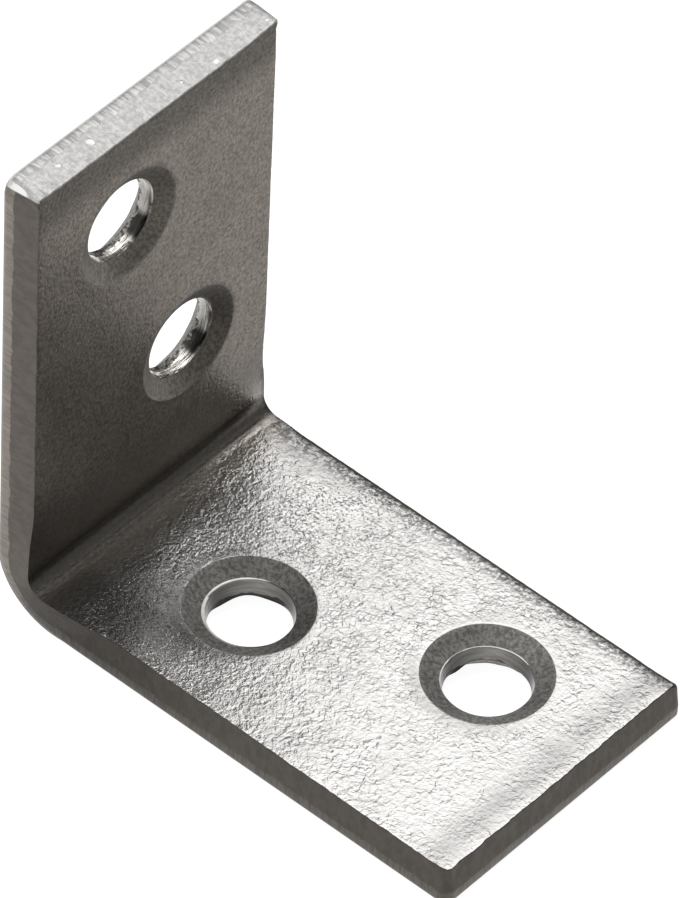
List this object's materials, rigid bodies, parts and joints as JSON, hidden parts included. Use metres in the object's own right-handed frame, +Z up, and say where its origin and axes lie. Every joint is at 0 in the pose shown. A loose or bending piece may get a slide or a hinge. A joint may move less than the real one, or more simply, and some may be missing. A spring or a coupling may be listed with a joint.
{
  "type": "chair corner bracket",
  "caption": "Small right-angle bracket folded from one strip of zinc-plated steel, with staggered countersunk screw holes in both legs, for holding an inside corner of a chair.",
  "frame": {"origin": "centre of the underside of the bracket's box, on the surface that it rests on", "axes": "+X along the lower leg from the fold to its tip, +Y across the strip, +Z up the other leg"},
  "size_m": [0.025, 0.0148, 0.0246],
  "materials": {
    "zinc_steel": "bright zinc plate, finely wrinkled, with bare grey cut edges"
  },
  "bodies": {
    "root": {"bracket": "zinc_steel"}
  },
  "joints": []
}
